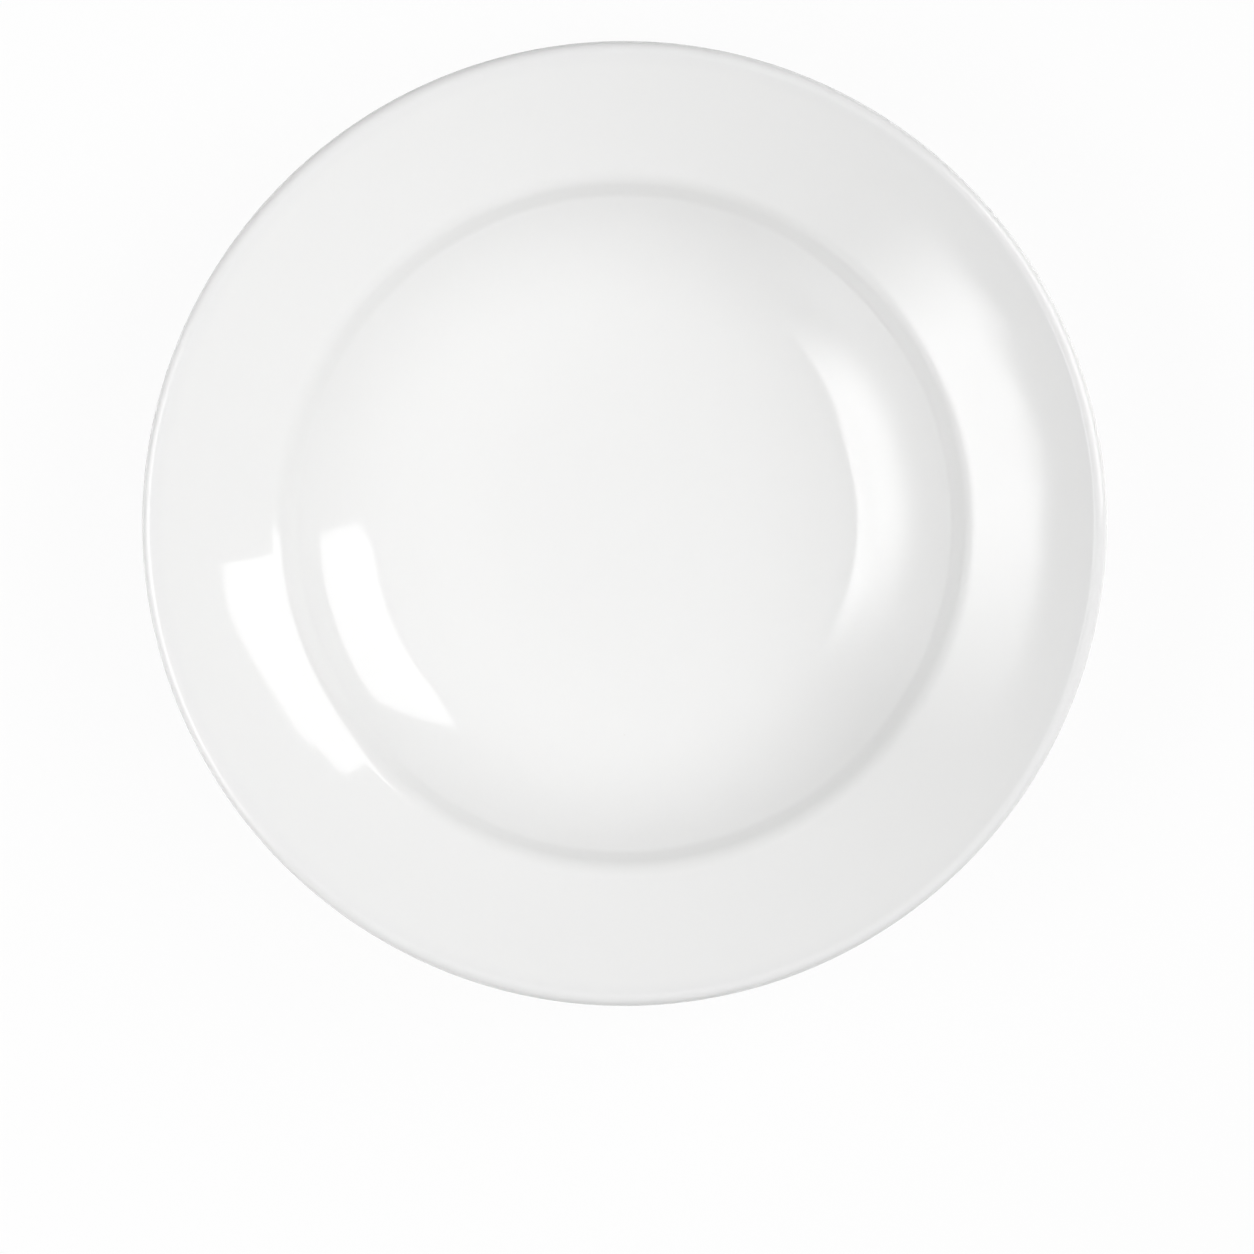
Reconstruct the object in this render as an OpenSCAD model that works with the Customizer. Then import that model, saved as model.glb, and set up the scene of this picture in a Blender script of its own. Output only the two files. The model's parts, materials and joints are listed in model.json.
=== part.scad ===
// Pasta bowl with a deep well and a wide sloping rim, turned about the Z axis.
// The bare standing face of the foot ring lies on z = 0.

/* [Bowl] */
// Outside diameter of the glazed bowl
bowl_d = 300; // [270:1:340]
// Height of the glazed bowl, from the table to the top of the rim
bowl_h = 49; // [42:0.5:60]

/* [Rim] */
// Diameter of the verge, where the rim turns down into the well
verge_d = 216; // [190:1:235]
// Slope of the rim's face above the horizontal, in degrees
rim_slope = 22; // [14:0.5:30]
// Taper of the rim, by which its back is steeper than its face, in degrees
rim_taper = 1.5; // [0:0.1:2.5]
// Thickness of the clay in the rim, at the verge
rim_t = 4.4; // [3.6:0.1:6]
// Width of the rolled edge, from its outside to the back of the rim
land_w = 9.2; // [7:0.1:12]
// Radius of the rolled edge
edge_r = 2.8; // [1:0.1:3]
// Radius of the hollow between the rolled edge and the back of the rim
land_r = 3; // [1:0.5:10]
// Radius of the verge
verge_r = 10; // [2:0.5:12]
// Radius of the hollow behind the verge
shoulder_r = 6; // [2:0.5:12]

/* [Well] */
// Slope of the steep band below the verge, in degrees
band_slope = 55; // [50:1:60]
// Width of the steep band, seen from above
band_w = 4.5; // [3:0.1:6]
// Radius of the hollow between the band and the wall
band_r = 10; // [4:1:15]
// Slope of the well's wall inside, below the band, in degrees
well_slope = 42; // [38:1:48]
// Slope of the well's wall outside, in degrees
wall_slope = 54; // [50:1:58]
// Thickness of the clay in the wall, at the verge
wall_t = 3.9; // [3.5:0.1:6]
// Radius of the curve from the wall to the floor, inside
heel_in_r = 58; // [15:1:60]
// Radius of the curve from the wall to the underside, outside
heel_out_r = 45; // [20:1:50]
// Diameter of the flat middle of the floor, before it is blended into the slope round it
floor_d = 104; // [50:1:120]
// Slope of the floor round its flat middle, in degrees
floor_slope = 8; // [2:0.5:10]
// Radius of the blend between the flat and the sloping floor
floor_r = 200; // [50:10:300]
// Thickness of the clay in the middle of the floor
floor_t = 4.5; // [3.5:0.1:6]

/* [Foot] */
// Outside diameter of the standing face
foot_d = 108; // [90:1:130]
// Width of the standing face
foot_w = 3.5; // [2:0.1:6]
// Height of the foot ring on its outside
foot_h = 1.1; // [0.9:0.1:2.5]
// Height of the recess inside the foot ring
recess_h = 1.6; // [1.2:0.1:3]
// Lean of the foot ring's sides away from upright, in degrees
foot_lean = 25; // [5:1:40]
// Slope of the underside round the foot ring, in degrees
under_slope = 8.4; // [5:0.1:11]
// Radius of the foot ring's edges
foot_edge_r = 0.5; // [0.2:0.1:1]
// Radius of the hollow at the foot ring's root
foot_root_r = 0.6; // [0.4:0.1:1.5]

/* [Glaze] */
// Thickness of the glaze
glaze_t = 0.3; // [0.2:0.05:0.5]
// Height of the band that is wiped bare on the foot ring
bare_h = 0.5; // [0.3:0.1:0.7]

/* [Fineness] */
// Largest distance between a rounded corner and the straight parts that follow it
arc_gap = 0.004; // [0.002:0.001:0.05]
// Largest share of a side that the rounded corners at its two ends take together
corner_share = 0.98; // [0.8:0.01:0.99]

/* [Hidden] */
$fn = 180;
// Slopes of a level and of an upright line
level = 0;
upright = 90;

// Straight lines of the section, each as a point [radius, height] and a direction
function line(point, slope) = [point, [cos(slope), sin(slope)]];
// The same line, moved square to itself to its right-hand side
function beside(a, gap) = [a[0] + gap * [a[1][1], -a[1][0]], a[1]];
// The point where two lines cross
function meet(a, b) = a[0] + a[1] * cross(b[0] - a[0], b[1]) / cross(a[1], b[1]);

// The clay lies one glaze thickness inside the finished rim
rim_r = bowl_d / 2 - glaze_t;
rim_top = bowl_h - glaze_t;
foot_r = foot_d / 2;
floor_z = recess_h + floor_t;

// The rolled edge fits between the face of the rim and the land below it
rim_w = rim_r - verge_d / 2;
rim_drop = rim_t / cos(rim_slope);
back_slope = rim_slope + rim_taper;
edge_span = rim_w * tan(rim_slope) + rim_drop - (rim_w - land_w) * tan(back_slope);
edge_fit = min(edge_r, corner_share * edge_span / (1 + tan(rim_slope) + 1 / cos(rim_slope)));
edge_top = [rim_r, rim_top + edge_fit * (1 / cos(rim_slope) + tan(rim_slope) - 1)];

rim_side = line(edge_top, upright);
verge = edge_top - rim_w * [1, tan(rim_slope)];
rim_back = line(verge - [0, rim_drop], back_slope);
land = verge + [rim_w - land_w, (rim_w - land_w) * tan(back_slope) - rim_drop];
land_flat = line(land, level);
band_foot = verge - band_w * [1, tan(band_slope)];
well_face = line(band_foot, well_slope);
well_back = beside(line(verge, wall_slope), wall_t);
floor_edge = [floor_d / 2, floor_z];
floor_face = line(floor_edge, floor_slope);
under_back = line([foot_r, foot_h], under_slope);
recess_flat = line([0, recess_h], level);
foot_out = [foot_r, 0];
foot_in = [foot_r - foot_w, 0];
foot_out_side = line(foot_out, upright - foot_lean);
foot_in_side = line(foot_in, upright + foot_lean);

// Corners of the clay's section, anticlockwise from the axis below to the axis above, as [point, radius]
sharp_section = [
    [[0, recess_h], 0],
    [meet(foot_in_side, recess_flat), foot_root_r],
    [foot_in, foot_edge_r],
    [foot_out, foot_edge_r],
    [meet(foot_out_side, under_back), foot_root_r],
    [meet(under_back, well_back), heel_out_r],
    [meet(well_back, rim_back), shoulder_r],
    [land, land_r],
    [meet(land_flat, rim_side), edge_fit],
    [edge_top, edge_fit],
    [verge, verge_r],
    [band_foot, band_r],
    [meet(well_face, floor_face), heel_in_r],
    [floor_edge, floor_r],
    [[0, floor_z], 0],
];

function unit(v) = v / norm(v);
function left_of(v) = [-v[1], v[0]];
// Turn at corner i of a section in degrees: left turns are positive, and the two ends on the axis have none
function turn(s, i) =
    i == 0 || i == len(s) - 1 ? 0 :
    let (a = s[i][0] - s[i - 1][0], b = s[i + 1][0] - s[i][0])
    atan2(cross(a, b), a * b);
// Length that a rounded corner takes from each of its two sides
function trim(s, i) = s[i][1] * tan(abs(turn(s, i)) / 2);
// Length of the side that ends at corner i, and what the rounded corners at its two ends take from it
function side_length(s, i) = norm(s[i][0] - s[i - 1][0]);
function taken(s, i) = trim(s, i - 1) + trim(s, i);
// Share of their radii that these two corners keep where the side is too short for both
function room(s, i) = taken(s, i) > 0 ? min(1, corner_share * side_length(s, i) / taken(s, i)) : 1;
function fitted(s) = [
    for (i = [0 : len(s) - 1])
        [s[i][0], turn(s, i) == 0 ? 0 : s[i][1] * min(room(s, i), room(s, i + 1))]
];

// Points of a section with its corners rounded by arcs
function arc(s, i) =
    let (
        ahead = unit(s[i][0] - s[i - 1][0]),
        side = left_of(ahead) * sign(turn(s, i)),
        start = s[i][0] - ahead * trim(s, i),
        centre = start + side * s[i][1],
        steps = ceil(abs(turn(s, i)) / (2 * acos(1 - min(arc_gap / s[i][1], 1)))),
        first = atan2(-side[1], -side[0])
    )
    [for (k = [0 : steps]) let (a = first + turn(s, i) * k / steps) centre + s[i][1] * [cos(a), sin(a)]];
function rounded(s) = [
    for (i = [0 : len(s) - 1])
        each s[i][1] > 0 ? arc(s, i) : [s[i][0]]
];

// A section grown by an even thickness: outer corners gain radius and hollows lose it
function out_of(s, i) = -left_of(unit(s[i + 1][0] - s[i][0]));
function grown(s, gap) = [
    for (i = [0 : len(s) - 1])
        let (
            before = out_of(s, max(i - 1, 0)),
            after = out_of(s, min(i, len(s) - 2))
        )
        [s[i][0] + gap * (before + after) / (1 + before * after), max(s[i][1] + gap * sign(turn(s, i)), 0)]
];

clay_section = fitted(sharp_section);
glaze_section = grown(clay_section, glaze_t);

// Middle of the standing face and of the floor's clay, which part the base glaze from the coat
foot_mid = foot_r - foot_w / 2;
floor_mid = recess_h + floor_t / 2;

module clay_half() {
    polygon(rounded(clay_section));
}

// Half section of all the glaze, with none on the wiped band of the foot ring
module glaze_half() {
    difference() {
        polygon(rounded(glaze_section));
        clay_half();
        translate([0, -glaze_t])
            square([rim_r, glaze_t + bare_h]);
    }
}

module base_half() {
    square([foot_mid, floor_mid]);
}

// Fired clay in one piece: well, rim with its rolled edge, and foot ring
module clay_body() {
    color("antiquewhite")
        rotate_extrude()
            clay_half();
}

// Glass skin over the face, the rolled edge and the back, down to the foot ring
module glaze_coat() {
    color("white")
        rotate_extrude()
            difference() {
                glaze_half();
                base_half();
            }
}

// Glass skin in the recess, inside the foot ring
module base_glaze() {
    color("whitesmoke")
        rotate_extrude()
            intersection() {
                glaze_half();
                base_half();
            }
}

clay_body();
glaze_coat();
base_glaze();
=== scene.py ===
# Looks of a white glazed pasta bowl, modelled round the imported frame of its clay
import json
import math
from collections import namedtuple

import bpy
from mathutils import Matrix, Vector


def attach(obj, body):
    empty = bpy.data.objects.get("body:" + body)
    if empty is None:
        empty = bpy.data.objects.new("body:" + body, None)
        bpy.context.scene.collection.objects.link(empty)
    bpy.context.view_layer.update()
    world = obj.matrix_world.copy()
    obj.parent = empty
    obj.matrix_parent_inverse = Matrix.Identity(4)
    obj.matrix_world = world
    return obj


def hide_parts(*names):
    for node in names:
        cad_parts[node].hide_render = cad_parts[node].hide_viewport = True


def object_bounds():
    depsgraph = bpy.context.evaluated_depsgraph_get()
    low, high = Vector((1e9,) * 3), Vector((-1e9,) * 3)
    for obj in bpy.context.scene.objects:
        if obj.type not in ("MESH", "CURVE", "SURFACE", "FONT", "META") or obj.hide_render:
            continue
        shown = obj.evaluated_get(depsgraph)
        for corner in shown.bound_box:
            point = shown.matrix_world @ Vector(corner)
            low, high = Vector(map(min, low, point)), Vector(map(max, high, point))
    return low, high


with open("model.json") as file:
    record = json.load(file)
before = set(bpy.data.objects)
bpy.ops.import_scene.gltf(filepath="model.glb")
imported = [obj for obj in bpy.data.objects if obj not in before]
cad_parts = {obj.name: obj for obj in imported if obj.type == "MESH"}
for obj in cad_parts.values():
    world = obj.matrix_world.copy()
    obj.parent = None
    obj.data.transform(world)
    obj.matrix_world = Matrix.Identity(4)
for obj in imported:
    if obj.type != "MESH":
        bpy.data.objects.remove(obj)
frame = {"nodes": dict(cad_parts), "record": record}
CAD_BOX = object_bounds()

bl_info = {
    "name": "Pasta bowl",
    "version": (1, 0, 0),
    "blender": (4, 5, 0),
    "location": "View3D > Sidebar > Pasta bowl",
    "description": "Glazes a pasta bowl over its clay body and sets it on a white stage",
    "category": "Object",
}

BODY = "root"
CLAY_NODE, COAT_NODE, BASE_NODE = "clay_body", "glaze_coat", "base_glaze"
CLAY_SLOT, GLAZE_SLOT = "clay", "glaze"
RECORD_COLOUR = {slot["slot"]: slot["base_color"] for slot in frame["record"]["materials"]}
CAD_SPAN = CAD_BOX[1] - CAD_BOX[0]
WHITE = 1, 1, 1, 1

# Corners of the half section where the foot ring's sides meet the recess and the underside
RECESS_CORNER, UNDERSIDE_CORNER = 1, 4
# Distance within which points are joined where a turned skin closes
WELD_GAP = 0.000001
# Bend above which an edge of a skin stays sharp
SHARP_BEND = math.radians(40)
# Straight parts that a panel has along its azimuth
PANEL_STEPS = 24
# Blur along the cut corner of a panel, as a share of the cut
CUT_BLUR = 0.05
# Levels of noise between which hazy patches, grains and rubbed places set in
PATCH_LEVELS = 0.4, 0.75
GRAIN_LEVELS = 0.58, 0.68
RUB_LEVELS = 0.35, 0.7
# Range of chance over which a speck sets in
SPECK_BLUR = 0.005
# Sockets of a Mix node that blends colours, by index because their names repeat
MIX_FACTOR, MIX_FIRST, MIX_SECOND, MIX_RESULT = 0, 6, 7, 2


# Kinds of property


def length(name, description, default):
    return bpy.props.FloatProperty(
        name=name, description=description, default=default, min=0, unit="LENGTH", precision=5
    )


def angle(name, description, degrees):
    return bpy.props.FloatProperty(
        name=name, description=description, default=math.radians(degrees), subtype="ANGLE"
    )


def angles(name, description, degrees):
    return bpy.props.FloatVectorProperty(
        name=name,
        description=description,
        default=[math.radians(a) for a in degrees],
        size=len(degrees),
        unit="ROTATION",
    )


def number(name, description, default):
    return bpy.props.FloatProperty(name=name, description=description, default=default, min=0, precision=4)


def share(name, description, default):
    return bpy.props.FloatProperty(
        name=name, description=description, default=default, min=0, max=1, subtype="FACTOR"
    )


def colour(name, description, default):
    return bpy.props.FloatVectorProperty(
        name=name, description=description, default=default, min=0, max=1, size=3, subtype="COLOR"
    )


def pixel(name, description, default):
    return bpy.props.FloatProperty(name=name, description=description, default=default, subtype="PIXEL")


class BowlSizes(bpy.types.PropertyGroup):
    """Sizes of the bowl's half section, as the clay and its glaze have them"""

    bowl_diameter: length("Bowl diameter", "Outside diameter over the glaze", CAD_SPAN.x)
    bowl_height: length("Bowl height", "Height over the glaze, from the table", CAD_SPAN.z)
    verge_diameter: length("Verge diameter", "Where the rim turns down into the well", 0.216)
    rim_slope: angle("Rim slope", "Slope of the rim's face above the horizontal", 22)
    rim_taper: angle("Rim taper", "How much steeper the rim's back is than its face", 1.5)
    rim_thickness: length("Rim thickness", "Clay in the rim, at the verge", 0.0044)
    land_width: length("Land width", "From the outside of the rolled edge to the rim's back", 0.0092)
    edge_radius: length("Edge radius", "Radius of the rolled edge", 0.0028)
    land_radius: length("Land radius", "Radius of the hollow behind the rolled edge", 0.003)
    verge_radius: length("Verge radius", "Radius of the verge", 0.01)
    shoulder_radius: length("Shoulder radius", "Radius of the hollow behind the verge", 0.006)
    band_slope: angle("Band slope", "Slope of the steep band below the verge", 55)
    band_width: length("Band width", "Width of the steep band, seen from above", 0.0045)
    band_radius: length("Band radius", "Radius of the hollow between the band and the wall", 0.01)
    well_slope: angle("Well slope", "Slope of the well's wall inside, below the band", 42)
    wall_slope: angle("Wall slope", "Slope of the well's wall outside", 54)
    wall_thickness: length("Wall thickness", "Clay in the wall, at the verge", 0.0039)
    heel_inside: length("Heel inside", "Radius of the curve from the wall to the floor", 0.058)
    heel_outside: length("Heel outside", "Radius of the curve from the wall to the underside", 0.045)
    floor_diameter: length("Floor diameter", "Flat middle of the floor, before its blend", 0.104)
    floor_slope: angle("Floor slope", "Slope of the floor round its flat middle", 8)
    floor_blend: length("Floor blend", "Radius between the flat and the sloping floor", 0.2)
    floor_thickness: length("Floor thickness", "Clay in the middle of the floor", 0.0045)
    foot_diameter: length("Foot diameter", "Outside diameter of the standing face", 0.108)
    foot_width: length("Foot width", "Width of the standing face", 0.0035)
    foot_height: length("Foot height", "Height of the foot ring on its outside", 0.0011)
    recess_height: length("Recess height", "Height of the recess inside the foot ring", 0.0016)
    foot_lean: angle("Foot lean", "Lean of the foot ring's sides away from upright", 25)
    under_slope: angle("Underside slope", "Slope of the underside round the foot ring", 8.4)
    foot_edge: length("Foot edge", "Radius of the foot ring's edges", 0.0005)
    foot_root: length("Foot root", "Radius of the hollow at the foot ring's root", 0.0006)
    glaze_thickness: length("Glaze thickness", "Thickness of the glaze", 0.0003)
    bare_height: length("Bare height", "Height of the wiped band on the foot ring", 0.0005)
    lip_radius: length("Lip radius", "Radius of the glaze's edge at the wiped band", 0.00025)
    arc_gap: length("Arc gap", "Largest distance between an arc and its straight parts", 0.000004)
    turns: bpy.props.IntProperty(name="Turns", description="Parts of one full turn", default=240, min=24)


class GlazeFinish(bpy.types.PropertyGroup):
    """Look of the gloss glaze"""

    colour: colour("Colour", "Colour of the glaze", RECORD_COLOUR[GLAZE_SLOT])
    thin_colour: colour("Thin colour", "Colour where the clay shows through thin glaze", (0.85, 0.85, 0.85))
    thin_depth: length("Thin depth", "Depth below the rim's top over which the glaze is thin", 0.002)
    thin_tint: share("Thin tint", "Share of the thin colour at the rim's top", 0.6)
    cloud_size: length("Cloud size", "Width of the clouds of thinner glaze", 0.03)
    cloud_tint: share("Cloud tint", "Share of the thin colour in a cloud", 0.25)
    speck_colour: colour("Speck colour", "Colour of the rare specks under the glaze", (0.55, 0.52, 0.47))
    speck_spacing: length("Speck spacing", "Width of the cells that can hold a speck each", 0.008)
    speck_share: share("Speck share", "Share of the cells that hold a speck", 0.03)
    speck_radius: length("Speck radius", "Radius of a speck", 0.00024)
    speck_tint: share("Speck tint", "Share of the speck colour in a speck", 0.5)
    refraction: number("Refraction", "Index of refraction of the glaze", 1.5)
    roughness: number("Roughness", "Least roughness of the glaze", 0.02)
    haze: number("Haze", "Roughness that use has added in patches", 0.01)
    patch_size: length("Patch size", "Width of the hazy patches", 0.02)
    scour: number("Scour", "Roughness that cutlery has added in the well", 0.08)
    scour_margin: length("Scour margin", "Width over which the scour fades towards the verge", 0.01)
    scour_between: share("Scour between", "Share of the scour that the well has between the patches", 0.6)
    ripple: length("Ripple", "Height of the slow waves in the glaze", 0.00002)
    ripple_size: length("Ripple size", "Width of the slow waves in the glaze", 0.018)
    peel: length("Peel", "Height of the fine orange peel in the glaze", 0.0000015)
    peel_size: length("Peel size", "Width of the orange peel's dimples", 0.0016)


class ClayFinish(bpy.types.PropertyGroup):
    """Look of the bare clay on the foot ring"""

    colour: colour("Colour", "Colour of the bare clay", RECORD_COLOUR[CLAY_SLOT])
    grain_colour: colour("Grain colour", "Colour of the grains in the clay", (0.6, 0.55, 0.47))
    grain_tint: share("Grain tint", "Share of the grain colour in a grain", 0.5)
    grain_size: length("Grain size", "Width of the grains", 0.0012)
    fine_size: length("Fine size", "Width of the fine bumps between the grains", 0.0006)
    bump_height: length("Bump height", "Height of the fine bumps", 0.00003)
    grain_rise: share("Grain rise", "Height of the grains as a share of the fine bumps", 0.5)
    rub_colour: colour("Rub colour", "Grey that tables leave on the standing face", (0.5, 0.49, 0.47))
    rub_tint: share("Rub tint", "Share of the rub colour where the clay is rubbed", 0.45)
    rub_depth: length("Rub depth", "Height above the table up to which the clay is rubbed", 0.00015)
    rub_size: length("Rub size", "Width of the rubbed places", 0.006)
    roughness: number("Roughness", "Roughness of the bare clay", 0.8)
    rub_polish: number("Rub polish", "Roughness that rubbing has taken away", 0.25)


class StageSetup(bpy.types.PropertyGroup):
    """Camera, panels, world and floor"""

    image_width: pixel("Image width", "Width and height of the image", 1254)
    bowl_across: pixel("Bowl across", "Place of the bowl's centre from the image's left edge", 624.5)
    bowl_down: pixel("Bowl down", "Place of the bowl's centre from the image's top edge", 523.5)
    bowl_radius: pixel("Bowl radius", "Radius of the rim in the image", 482.5)
    camera_height: length("Camera height", "Height of the camera over the table", 1.6)
    key_lower: angles("Key lower edge", "Azimuths of the ends of the key's lower edge", (1.6, 35.2))
    key_upper: angles("Key upper edge", "Azimuths of the ends of the key's upper edge", (-2.7, 52))
    key_span: angles("Key span", "Elevations of the key's lower and upper edge", (16.7, 54.82))
    key_fade: angles("Key fade", "Fade of its lower edge, upper edge, start and end", (0.4, 0.1, 0.4, 0.4))
    key_start_cuts: angles(
        "Key start cuts", "Width and height of each of the two cuts at its upper start", (6.5, 9, 15, 0.5)
    )
    key_end_cut: angles("Key end cut", "Width and height of the cut at its upper end", (11.5, 6.3))
    key_roll: angle("Key roll", "Turn of the key about its middle direction", -1.4)
    key_distance: length("Key distance", "Distance of the key from the bowl", 1.6)
    key_strength: number("Key strength", "Brightness of the key", 4.0)
    fill_lower: angles("Fill lower edge", "Azimuths of the ends of the fill's lower edge", (140, 230.5))
    fill_upper: angles("Fill upper edge", "Azimuths of the ends of the fill's upper edge", (140, 232.5))
    fill_span: angles("Fill span", "Elevations of the fill's lower and upper edge", (16, 55.87))
    fill_fade: angles("Fill fade", "Fade of its lower edge, upper edge, start and end", (31, 0.9, 45, 25))
    fill_distance: length("Fill distance", "Distance of the fill from the bowl", 1.6)
    fill_strength: number("Fill strength", "Brightness of the fill", 6.2)
    high_lower: angles("High lower edge", "Azimuths of the ends of the high fill's lower edge", (144, 230))
    high_upper: angles("High upper edge", "Azimuths of the ends of the high fill's upper edge", (144, 203))
    high_span: angles("High span", "Elevations of the high fill's lower and upper edge", (54.04, 66.14))
    high_fade: angles("High fade", "Fade of its lower edge, upper edge, start and end", (0.15, 0.6, 25, 10))
    high_distance: length("High distance", "Distance of the high fill from the bowl", 3.45)
    high_strength: number("High strength", "Brightness of the high fill", 5.4)
    low_lower: angles("Low lower edge", "Azimuths of the ends of the low fill's lower edge", (138, 248))
    low_upper: angles("Low upper edge", "Azimuths of the ends of the low fill's upper edge", (138, 248))
    low_span: angles("Low span", "Elevations of the low fill's lower and upper edge", (3, 32))
    low_fade: angles("Low fade", "Fade of its lower edge, upper edge, start and end", (5, 10, 25, 25))
    low_distance: length("Low distance", "Distance of the low fill from the bowl", 1.6)
    low_strength: number("Low strength", "Brightness of the low fill", 2.2)
    glow_azimuth: angle("Glow azimuth", "Azimuth of the brightest part of the sky", -14)
    glow_elevation: angle("Glow elevation", "Elevation of the brightest part of the sky", 50)
    glow_power: number("Glow power", "How closely the sky's glow gathers round its brightest part", 12.0)
    glow: number("Glow", "Brightness of the sky at its brightest part", 3.17)
    floor_colour: colour("Floor colour", "Colour of the floor", (0.85, 0.85, 0.85))
    floor_white: share("Floor white", "Share of plain white that the floor shows round the bowl", 0.93)
    shadow_white: share("Shadow white", "Share of plain white that the floor shows under the bowl", 0.3)
    white_distance: length("White distance", "Distance from which the floor is plain white", 1.2)
    floor_span: length("Floor span", "Width of the floor", 12.0)


class PastaBowl(bpy.types.PropertyGroup):
    """All settings of the pasta bowl"""

    sizes: bpy.props.PointerProperty(type=BowlSizes)
    glaze: bpy.props.PointerProperty(type=GlazeFinish)
    clay: bpy.props.PointerProperty(type=ClayFinish)
    stage: bpy.props.PointerProperty(type=StageSetup)


# Half section of the bowl, in the plane of the axis, as points (radius, height)

Corner = namedtuple("Corner", "point radius")
Line = namedtuple("Line", "point along")


def heading(slope):
    return Vector((math.cos(slope), math.sin(slope)))


def left_of(along):
    return Vector((-along.y, along.x))


def sloping(radius, height, slope):
    return Line(Vector((radius, height)), heading(slope))


def beside(line, gap):
    """The same line, moved square to itself to its right-hand side."""
    return Line(line.point - gap * left_of(line.along), line.along)


def meet(a, b):
    """The point where two lines cross."""
    return a.point + a.along * ((b.point - a.point).cross(b.along) / a.along.cross(b.along))


def at_height(line, height):
    return line.point + line.along * ((height - line.point.y) / line.along.y)


def clay_lines(s):
    """The straight lines that bound the clay's half section, by name and in order."""
    upright = math.pi / 2
    rim_radius = s.bowl_diameter / 2 - s.glaze_thickness
    rim_top = s.bowl_height - s.glaze_thickness
    rise = math.tan(s.rim_slope)
    stretch = 1 / math.cos(s.rim_slope)
    rim_width = rim_radius - s.verge_diameter / 2
    edge_top = rim_top + s.edge_radius * (stretch + rise - 1)
    verge_height = edge_top - rim_width * rise
    back_slope = s.rim_slope + s.rim_taper
    back_height = verge_height - s.rim_thickness * stretch
    land_run = rim_width - s.land_width
    land_height = back_height + land_run * math.tan(back_slope)
    foot_radius = s.foot_diameter / 2
    floor_height = s.recess_height + s.floor_thickness
    verge = s.verge_diameter / 2, verge_height
    band_foot = verge[0] - s.band_width, verge_height - s.band_width * math.tan(s.band_slope)
    return {
        "recess": sloping(0, s.recess_height, 0),
        "foot_inside": sloping(foot_radius - s.foot_width, 0, upright + s.foot_lean),
        "standing": sloping(0, 0, 0),
        "foot_outside": sloping(foot_radius, 0, upright - s.foot_lean),
        "underside": sloping(foot_radius, s.foot_height, s.under_slope),
        "well_back": beside(sloping(*verge, s.wall_slope), s.wall_thickness),
        "rim_back": sloping(verge[0], back_height, back_slope),
        "land": sloping(0, land_height, 0),
        "rim_side": sloping(rim_radius, edge_top, upright),
        "rim_face": sloping(rim_radius, edge_top, s.rim_slope),
        "band": sloping(*verge, s.band_slope),
        "well_face": sloping(*band_foot, s.well_slope),
        "floor_face": sloping(s.floor_diameter / 2, floor_height, s.floor_slope),
        "floor": sloping(0, floor_height, 0),
    }


def clay_corners(s):
    """Corners of the clay's half section, from the axis below to the axis above."""
    lines = list(clay_lines(s).values())
    radii = (
        s.foot_root, s.foot_edge, s.foot_edge, s.foot_root, s.heel_outside, s.shoulder_radius, s.land_radius,
        s.edge_radius, s.edge_radius, s.verge_radius, s.band_radius, s.heel_inside, s.floor_blend,
    )
    bends = [
        Corner(meet(before, after), radius) for before, after, radius in zip(lines, lines[1:], radii)
    ]
    return [Corner(lines[0].point, 0), *bends, Corner(lines[-1].point, 0)]


def turn_at(before, corner, after):
    """Turn at a corner in radians, where a left turn is positive."""
    coming = corner.point - before.point
    going = after.point - corner.point
    return math.atan2(coming.cross(going), coming.dot(going))


def glazed_corners(corners, thickness):
    """The same corners over glaze: outer bends gain its thickness as radius, and hollows lose it."""
    outwards = [-left_of((b.point - a.point).normalized()) for a, b in zip(corners, corners[1:])]
    glazed = [Corner(corners[0].point + thickness * outwards[0], 0)]
    for i in range(1, len(corners) - 1):
        both = outwards[i - 1] + outwards[i]
        shift = thickness * both / (1 + outwards[i - 1].dot(outwards[i]))
        turn = turn_at(corners[i - 1], corners[i], corners[i + 1])
        radius = max(corners[i].radius + math.copysign(thickness, turn), 0)
        glazed.append(Corner(corners[i].point + shift, radius))
    return [*glazed, Corner(corners[-1].point + thickness * outwards[-1], 0)]


# Modelling


def in_space(point):
    """A point of the half section, in the plane of X and Z."""
    return Vector((point.x, 0, point.y))


def start_piece(name, point):
    """Starts a piece in edit mode as one point of its half section."""
    bpy.ops.object.select_all(action="DESELECT")
    bpy.ops.mesh.primitive_plane_add(enter_editmode=True)
    bpy.context.object.name = name
    bpy.context.object.data.name = name
    bpy.ops.mesh.merge(type="CENTER")
    bpy.ops.transform.translate(value=in_space(point))


def extrude_to(here, there):
    bpy.ops.mesh.extrude_region_move(TRANSFORM_OT_translate={"value": in_space(there - here)})
    return there


def draw_section(corners, arc_gap):
    """Draws a half section: straight runs are extruded, and round corners are spun about their centres."""
    here = corners[0].point
    for before, corner, after in zip(corners, corners[1:], corners[2:]):
        if corner.radius == 0:
            here = extrude_to(here, corner.point)
            continue
        turn = turn_at(before, corner, after)
        trim = corner.radius * math.tan(abs(turn) / 2)
        ahead = (corner.point - before.point).normalized()
        start = corner.point - ahead * trim
        centre = start + left_of(ahead) * math.copysign(corner.radius, turn)
        step = 2 * math.acos(1 - min(arc_gap / corner.radius, 1))
        extrude_to(here, start)
        bpy.ops.mesh.spin(
            steps=math.ceil(abs(turn) / step), angle=turn, center=in_space(centre), axis=(0, 1, 0)
        )
        here = corner.point + (after.point - corner.point).normalized() * trim
    extrude_to(here, corners[-1].point)


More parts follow.
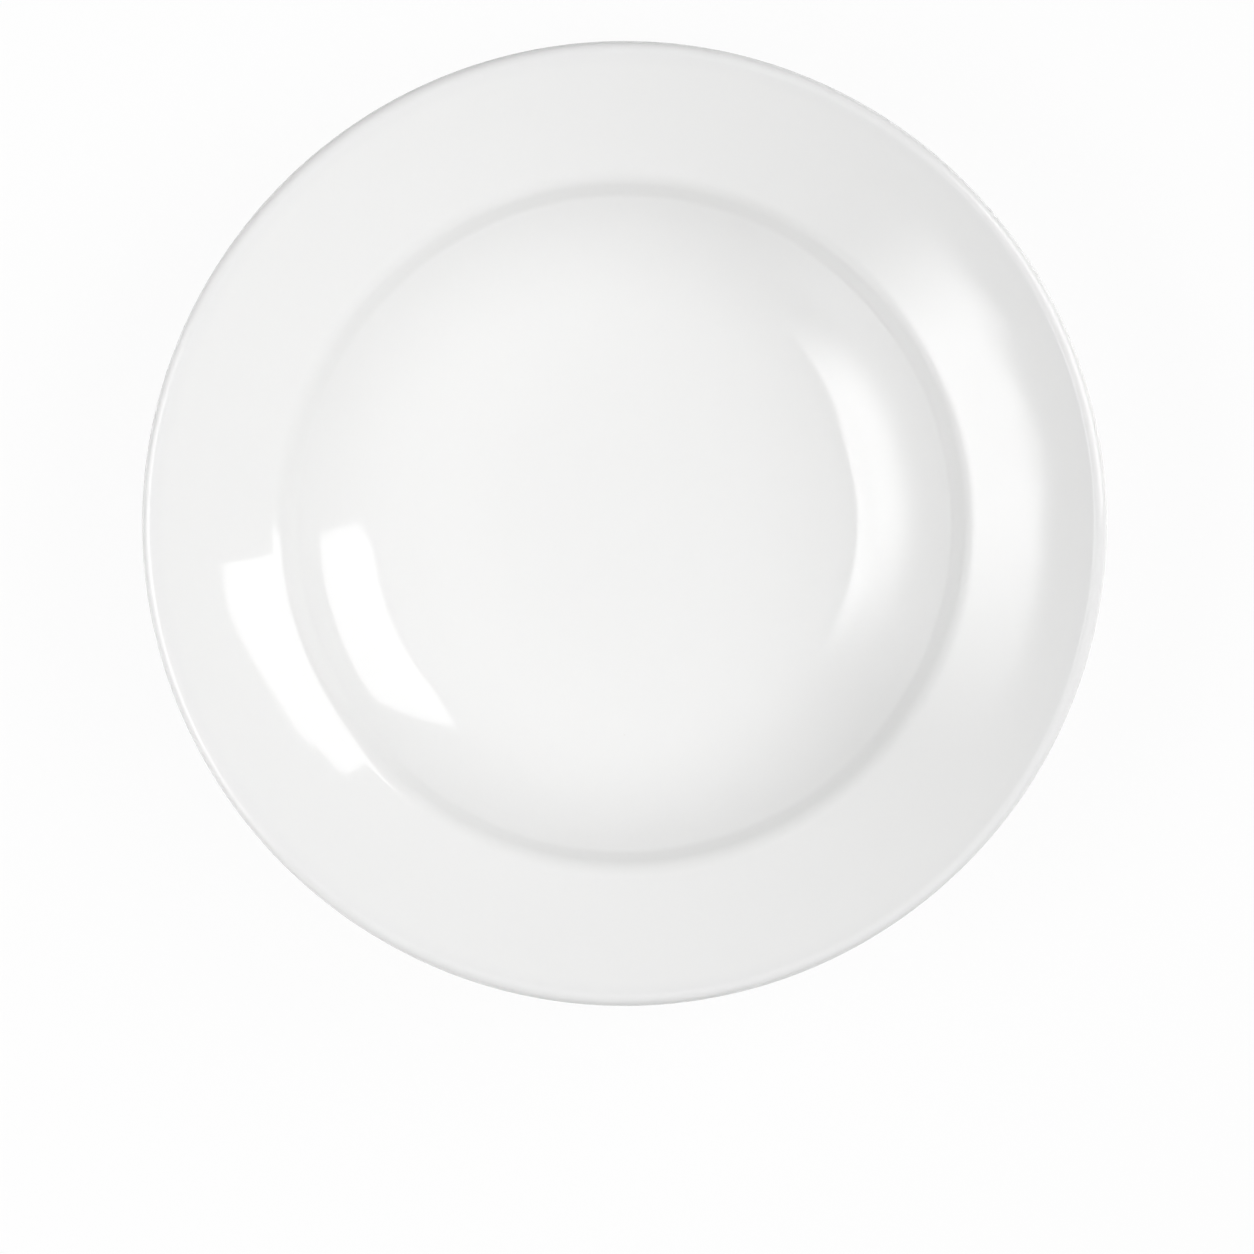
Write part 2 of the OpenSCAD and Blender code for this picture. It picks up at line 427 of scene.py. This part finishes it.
def turn_skin(name, section, sizes):
    """Draws a half section and turns it round the axis into a closed skin."""
    start_piece(name, section[0].point)
    draw_section(section, sizes.arc_gap)
    bpy.ops.mesh.select_all(action="SELECT")
    bpy.ops.mesh.spin(steps=sizes.turns, angle=2 * math.pi, center=(0, 0, 0), axis=(0, 0, 1))
    bpy.ops.mesh.select_all(action="SELECT")
    bpy.ops.mesh.remove_doubles(threshold=WELD_GAP)
    bpy.ops.mesh.normals_make_consistent(inside=False)
    bpy.ops.object.mode_set(mode="OBJECT")


def finish_piece(material, node):
    """Smooths the active piece, keeps its straight runs flat, dresses it and hands it to the frame."""
    piece = bpy.context.object
    bpy.ops.object.shade_smooth_by_angle(angle=SHARP_BEND)
    bpy.ops.object.modifier_add(type="WEIGHTED_NORMAL")
    piece.modifiers[-1].keep_sharp = True
    bpy.ops.object.modifier_apply(modifier=piece.modifiers[-1].name)
    piece.data.materials.append(material)
    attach(piece, BODY)
    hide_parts(node)


# Materials


class Value:
    """A socket of a node tree that takes part in Python expressions."""

    def __init__(self, nodes, socket):
        self.nodes = nodes
        self.socket = socket

    def __add__(self, other):
        return self.nodes.math("ADD", self, other)

    def __sub__(self, other):
        return self.nodes.math("SUBTRACT", self, other)

    def __rsub__(self, other):
        return self.nodes.math("SUBTRACT", other, self)

    def __mul__(self, other):
        return self.nodes.math("MULTIPLY", self, other)

    def __pow__(self, other):
        return self.nodes.math("POWER", self, other)

    __radd__ = __add__
    __rmul__ = __mul__

    def out(self, name):
        """Another output of the same node."""
        return Value(self.nodes, self.socket.node.outputs[name])


class Nodes:
    """Adds nodes to a node tree."""

    def __init__(self, tree):
        self.tree = tree
        tree.nodes.clear()

    def add(self, kind, settings=None, inputs=None):
        """A node of a kind, with its settings set first and then its inputs, as its first output."""
        node = self.tree.nodes.new(kind)
        for name, setting in (settings or {}).items():
            setattr(node, name, setting)
        for name, value in (inputs or {}).items():
            if isinstance(value, Value):
                self.tree.links.new(value.socket, node.inputs[name])
            else:
                node.inputs[name].default_value = value
        return Value(self, node.outputs[0]) if node.outputs else None

    def math(self, operation, first, second):
        return self.add("ShaderNodeMath", {"operation": operation}, {0: first, 1: second})

    def object_place(self):
        """The place on the object, whole and as its X, Y and Z."""
        where = self.add("ShaderNodeTexCoord").out("Object")
        x = self.add("ShaderNodeSeparateXYZ", {}, {"Vector": where})
        return where, x, x.out("Y"), x.out("Z")

    def step(self, value, low, high):
        """0 below low and 1 above high, with a smooth rise between them."""
        return self.add(
            "ShaderNodeMapRange",
            {"interpolation_type": "SMOOTHSTEP"},
            {"Value": value, "From Min": low, "From Max": high},
        )

    def noise(self, where, size, detail=2.0):
        """Noise from 0 to 1 whose lumps are about that size, in metres."""
        return self.add(
            "ShaderNodeTexNoise", {}, {"Vector": where, "Scale": 1 / size, "Detail": detail}
        )

    def bump(self, height, distance, under=None):
        """Normal of a surface with bumps, which may lie on other bumps."""
        inputs = {"Strength": 1.0, "Distance": distance, "Height": height}
        if under is not None:
            inputs["Normal"] = under
        return self.add("ShaderNodeBump", {}, inputs)

    def mix(self, factor, first, second):
        """Blends two colours."""
        inputs = {MIX_FACTOR: factor, MIX_FIRST: first, MIX_SECOND: second}
        return self.add("ShaderNodeMix", {"data_type": "RGBA"}, inputs).out(MIX_RESULT)

    def seen_rays(self):
        """1 for a ray from the camera, a mirror-like or a clear surface, and 0 for light that spreads."""
        path = self.add("ShaderNodeLightPath")
        return path.out("Is Camera Ray") + path.out("Is Glossy Ray") + path.out("Is Transmission Ray")


def across(x, y):
    """Distance from the axis."""
    return (x * x + y * y) ** 0.5


def opaque(paint):
    return (*paint, 1)


def new_material(name):
    material = bpy.data.materials.new(name)
    material.use_nodes = True
    return material, Nodes(material.node_tree)


def specks(nodes, where, glaze):
    """1 in the rare specks under the glaze, and 0 round them."""
    cells = nodes.add("ShaderNodeTexVoronoi", {}, {"Vector": where, "Scale": 1 / glaze.speck_spacing})
    chance = nodes.add("ShaderNodeSeparateColor", {}, {"Color": cells.out("Color")})
    least = 1 - glaze.speck_share
    reach = glaze.speck_radius / glaze.speck_spacing
    return nodes.step(chance, least, least + SPECK_BLUR) * (1 - nodes.step(cells, reach / 2, reach))


def glaze_material(glaze, sizes):
    """White gloss glaze: ripples, orange peel, hazy patches, a scoured well, thin edges and rare specks."""
    material, nodes = new_material("white_glaze")
    where, x, y, z = nodes.object_place()
    thin_edge = nodes.step(z, sizes.bowl_height - glaze.thin_depth, sizes.bowl_height)
    thin = nodes.noise(where, glaze.cloud_size) * glaze.cloud_tint + thin_edge * glaze.thin_tint
    base = nodes.mix(thin, opaque(glaze.colour), opaque(glaze.thin_colour))
    speck = specks(nodes, where, glaze) * glaze.speck_tint
    base = nodes.mix(speck, base, opaque(glaze.speck_colour))
    patch = nodes.step(nodes.noise(where, glaze.patch_size, detail=4.0), *PATCH_LEVELS)
    verge = sizes.verge_diameter / 2
    well = 1 - nodes.step(across(x, y), verge - glaze.scour_margin, verge)
    scour = (glaze.scour_between + (1 - glaze.scour_between) * patch) * well
    roughness = glaze.roughness + glaze.haze * patch + glaze.scour * scour
    wave = nodes.bump(nodes.noise(where, glaze.ripple_size, detail=1.0), glaze.ripple)
    skin = nodes.bump(nodes.noise(where, glaze.peel_size, detail=1.0), glaze.peel, wave)
    shader = nodes.add(
        "ShaderNodeBsdfPrincipled",
        {},
        {"Base Color": base, "Roughness": roughness, "IOR": glaze.refraction, "Normal": skin},
    )
    nodes.add("ShaderNodeOutputMaterial", {}, {"Surface": shader})
    return material


def clay_material(clay):
    """Bare clay: matt and grainy, and rubbed grey where it stands."""
    material, nodes = new_material("bare_clay")
    where, _, _, z = nodes.object_place()
    fine = nodes.noise(where, clay.fine_size, detail=3.0)
    grain = nodes.step(nodes.noise(where, clay.grain_size), *GRAIN_LEVELS)
    worn = nodes.step(nodes.noise(where, clay.rub_size, detail=3.0), *RUB_LEVELS)
    rub = (1 - nodes.step(z, 0.0, clay.rub_depth)) * worn
    base = nodes.mix(grain * clay.grain_tint, opaque(clay.colour), opaque(clay.grain_colour))
    base = nodes.mix(rub * clay.rub_tint, base, opaque(clay.rub_colour))
    roughness = clay.roughness - clay.rub_polish * rub
    bumps = nodes.bump(fine + clay.grain_rise * grain, clay.bump_height)
    shader = nodes.add(
        "ShaderNodeBsdfPrincipled", {}, {"Base Color": base, "Roughness": roughness, "Normal": bumps}
    )
    nodes.add("ShaderNodeOutputMaterial", {}, {"Surface": shader})
    return material


def floor_material(stage, sizes):
    """Matt pale floor that keeps the shadow under the bowl and is plain white far from it."""
    material, nodes = new_material("pale_floor")
    _, x, y, _ = nodes.object_place()
    radius = across(x, y)
    clear = nodes.step(radius, sizes.foot_diameter / 2, sizes.bowl_diameter / 2)
    far = nodes.step(radius, sizes.bowl_diameter, stage.white_distance)
    near_white = stage.shadow_white + (stage.floor_white - stage.shadow_white) * clear
    shown = near_white + (1 - near_white) * far
    lit = nodes.add("ShaderNodeBsdfDiffuse", {}, {"Color": opaque(stage.floor_colour)})
    white = nodes.add("ShaderNodeEmission", {}, {"Color": WHITE, "Strength": 1.0})
    floor = nodes.add("ShaderNodeMixShader", {}, {0: nodes.seen_rays() * shown, 1: lit, 2: white})
    nodes.add("ShaderNodeOutputMaterial", {}, {"Surface": floor})
    return material


def panel_material(name, lower, upper, span, fade, cuts, strength):
    """Glowing cloth, bounded in azimuth and elevation, that fades into clear air at its edges."""
    material, nodes = new_material(name)
    _, x, y, z = nodes.object_place()
    azimuth = nodes.math("ARCTAN2", y, x)
    elevation = nodes.math("ARCTAN2", z, across(x, y))
    lower_fade, upper_fade, *end_fades = fade
    above = elevation - span[0]
    below = span[1] - elevation
    way_up = above * (1 / (span[1] - span[0]))
    glow = nodes.step(above, 0.0, lower_fade) * nodes.step(below, 0.0, upper_fade)
    for end, side in ((0, 1), (1, -1)):
        within = (azimuth - (lower[end] + (upper[end] - lower[end]) * way_up)) * side
        glow = glow * nodes.step(within, 0.0, end_fades[end])
        for width, height in cuts[end]:
            inside = within * (1 / width) + below * (1 / height)
            glow = glow * nodes.step(inside, 1.0, 1.0 + CUT_BLUR)
    front = 1 - nodes.add("ShaderNodeNewGeometry").out("Backfacing")
    cloth = nodes.add("ShaderNodeEmission", {}, {"Color": front, "Strength": strength})
    air = nodes.add("ShaderNodeBsdfTransparent")
    sheet = nodes.add("ShaderNodeMixShader", {}, {0: glow, 1: air, 2: cloth})
    nodes.add("ShaderNodeOutputMaterial", {}, {"Surface": sheet})
    return material


# Operators


class PASTABOWL_OT_glaze_coat(bpy.types.Operator):
    """Turns the glaze over the face, the rolled edge and the back, down to the foot ring"""

    bl_idname = "pasta_bowl.glaze_coat"
    bl_label = "Glaze coat"

    def execute(self, context):
        sizes = context.scene.pasta_bowl.sizes
        clay = clay_corners(sizes)
        glazed = glazed_corners(clay, sizes.glaze_thickness)
        side = clay_lines(sizes)["foot_outside"]
        wiped = at_height(side, sizes.bare_height)
        lip = wiped - left_of(side.along) * sizes.glaze_thickness
        section = [
            *clay[:UNDERSIDE_CORNER - 1:-1],
            Corner(wiped, 0),
            Corner(lip, sizes.lip_radius),
            *glazed[UNDERSIDE_CORNER:],
        ]
        turn_skin("glaze_skin", section, sizes)
        finish_piece(glaze_material(context.scene.pasta_bowl.glaze, sizes), COAT_NODE)
        return {"FINISHED"}


class PASTABOWL_OT_base_glaze(bpy.types.Operator):
    """Turns the disc of glaze inside the foot ring"""

    bl_idname = "pasta_bowl.base_glaze"
    bl_label = "Base glaze"

    def execute(self, context):
        sizes = context.scene.pasta_bowl.sizes
        clay = clay_corners(sizes)
        glazed = glazed_corners(clay, sizes.glaze_thickness)
        side = clay_lines(sizes)["foot_inside"]
        wiped = at_height(side, sizes.bare_height)
        lip = wiped + left_of(side.along) * sizes.glaze_thickness
        section = [
            *clay[:RECESS_CORNER + 1],
            Corner(wiped, 0),
            Corner(lip, sizes.lip_radius),
            *glazed[RECESS_CORNER::-1],
        ]
        turn_skin("base_skin", section, sizes)
        finish_piece(bpy.data.materials["white_glaze"], BASE_NODE)
        return {"FINISHED"}


class PASTABOWL_OT_clay_body(bpy.types.Operator):
    """Gives the clay body its bare, rubbed finish"""

    bl_idname = "pasta_bowl.clay_body"
    bl_label = "Clay body"

    def execute(self, context):
        clay = frame["nodes"][CLAY_NODE]
        clay.data.materials.clear()
        clay.data.materials.append(clay_material(context.scene.pasta_bowl.clay))
        return {"FINISHED"}


class PASTABOWL_OT_stage(bpy.types.Operator):
    """Sets the floor, the panels, the world and the camera"""

    bl_idname = "pasta_bowl.stage"
    bl_label = "Stage"

    def execute(self, context):
        stage, sizes = context.scene.pasta_bowl.stage, context.scene.pasta_bowl.sizes
        start_cuts = stage.key_start_cuts[:2], stage.key_start_cuts[2:]
        self.add_floor(stage, sizes)
        self.add_panel("key", stage, cuts=(start_cuts, (stage.key_end_cut,)), roll=stage.key_roll)
        self.add_panel("fill", stage)
        self.add_panel("high", stage, only_mirrored=True)
        self.add_panel("low", stage, only_mirrored=True)
        self.set_world(context.scene, stage)
        self.add_camera(context.scene, stage, sizes)
        context.scene.view_settings.view_transform = "Standard"
        return {"FINISHED"}

    def add_floor(self, stage, sizes):
        bpy.ops.object.select_all(action="DESELECT")
        bpy.ops.mesh.primitive_plane_add(size=stage.floor_span)
        floor = bpy.context.object
        floor.name = "floor"
        floor.data.materials.append(floor_material(stage, sizes))

    def add_panel(self, name, stage, cuts=((), ()), roll=0.0, only_mirrored=False):
        """A sheet that curves round the bowl, over a span of azimuth and elevation."""
        lower, upper, span, fade, distance, strength = (
            getattr(stage, f"{name}_{part}")
            for part in ("lower", "upper", "span", "fade", "distance", "strength")
        )
        first, last = min(lower[0], upper[0]), max(lower[1], upper[1])
        middle = (first + last) / 2
        turn = last - first
        foot, head = (distance * heading(elevation) for elevation in span)
        start_piece(f"{name}_panel", foot)
        extrude_to(foot, head)
        bpy.ops.mesh.select_all(action="SELECT")
        bpy.ops.mesh.spin(steps=PANEL_STEPS, angle=turn, center=(0, 0, 0), axis=(0, 0, 1))
        bpy.ops.mesh.select_all(action="SELECT")
        bpy.ops.transform.rotate(value=-turn / 2, orient_axis="Z", center_override=(0, 0, 0))
        bpy.ops.mesh.normals_make_consistent(inside=True)
        bpy.ops.object.mode_set(mode="OBJECT")
        panel = bpy.context.object
        panel.rotation_euler = roll, 0, middle
        panel.visible_camera = False
        panel.visible_diffuse = not only_mirrored
        lower, upper = ([azimuth - middle for azimuth in edge] for edge in (lower, upper))
        cloth = panel_material(f"{name}_cloth", lower, upper, span, fade, cuts, strength)
        panel.data.materials.append(cloth)

    def set_world(self, scene, stage):
        """A glow from one part of the sky on matt surfaces, and plain white where the room is seen."""
        world = bpy.data.worlds.new("white_room")
        world.use_nodes = True
        scene.world = world
        nodes = Nodes(world.node_tree)
        level = math.cos(stage.glow_elevation) * heading(stage.glow_azimuth)
        brightest = level.x, level.y, math.sin(stage.glow_elevation)
        near = nodes.add(
            "ShaderNodeVectorMath",
            {"operation": "DOT_PRODUCT"},
            {0: nodes.add("ShaderNodeTexCoord"), 1: brightest},
        ).out("Value")
        glow = stage.glow * nodes.math("MAXIMUM", near, 0) ** stage.glow_power
        sky = nodes.add("ShaderNodeBackground", {}, {"Color": glow, "Strength": 1.0})
        white = nodes.add("ShaderNodeBackground", {}, {"Color": WHITE, "Strength": 1.0})
        both = nodes.add("ShaderNodeMixShader", {}, {0: nodes.seen_rays(), 1: sky, 2: white})
        nodes.add("ShaderNodeOutputWorld", {}, {"Surface": both})

    def add_camera(self, scene, stage, sizes):
        """Looks straight down on the bowl, framed as in the image."""
        bpy.ops.object.camera_add(location=(0, 0, stage.camera_height), rotation=(0, 0, 0))
        camera = bpy.context.object
        camera.name = "camera"
        rim_height = sizes.bowl_height - sizes.glaze_thickness - sizes.edge_radius
        view_width = sizes.bowl_diameter / 2 * stage.image_width / stage.bowl_radius
        camera.data.lens = camera.data.sensor_width * (stage.camera_height - rim_height) / view_width
        camera.data.shift_x = 0.5 - stage.bowl_across / stage.image_width
        camera.data.shift_y = stage.bowl_down / stage.image_width - 0.5
        scene.camera = camera


class PASTABOWL_PT_sidebar(bpy.types.Panel):
    """Settings and steps of the pasta bowl"""

    bl_idname = "PASTABOWL_PT_sidebar"
    bl_label = "Pasta bowl"
    bl_space_type = "VIEW_3D"
    bl_region_type = "UI"
    bl_category = "Pasta bowl"

    def draw(self, context):
        settings = context.scene.pasta_bowl
        for group in (settings.sizes, settings.glaze, settings.clay, settings.stage):
            box = self.layout.box()
            box.label(text=group.bl_rna.description)
            for name in group.bl_rna.properties.keys():
                if name not in ("rna_type", "name"):
                    box.prop(group, name)
        for step in STEPS:
            self.layout.operator(step.bl_idname)


STEPS = (PASTABOWL_OT_glaze_coat, PASTABOWL_OT_base_glaze, PASTABOWL_OT_clay_body, PASTABOWL_OT_stage)
CLASSES = (BowlSizes, GlazeFinish, ClayFinish, StageSetup, PastaBowl, *STEPS, PASTABOWL_PT_sidebar)


def register():
    for cls in CLASSES:
        bpy.utils.register_class(cls)
    bpy.types.Scene.pasta_bowl = bpy.props.PointerProperty(type=PastaBowl)


def unregister():
    del bpy.types.Scene.pasta_bowl
    for cls in reversed(CLASSES):
        bpy.utils.unregister_class(cls)


def main():
    register()
    bpy.ops.pasta_bowl.glaze_coat()
    bpy.ops.pasta_bowl.base_glaze()
    bpy.ops.pasta_bowl.clay_body()
    bpy.ops.pasta_bowl.stage()


if __name__ == "__main__":
    main()
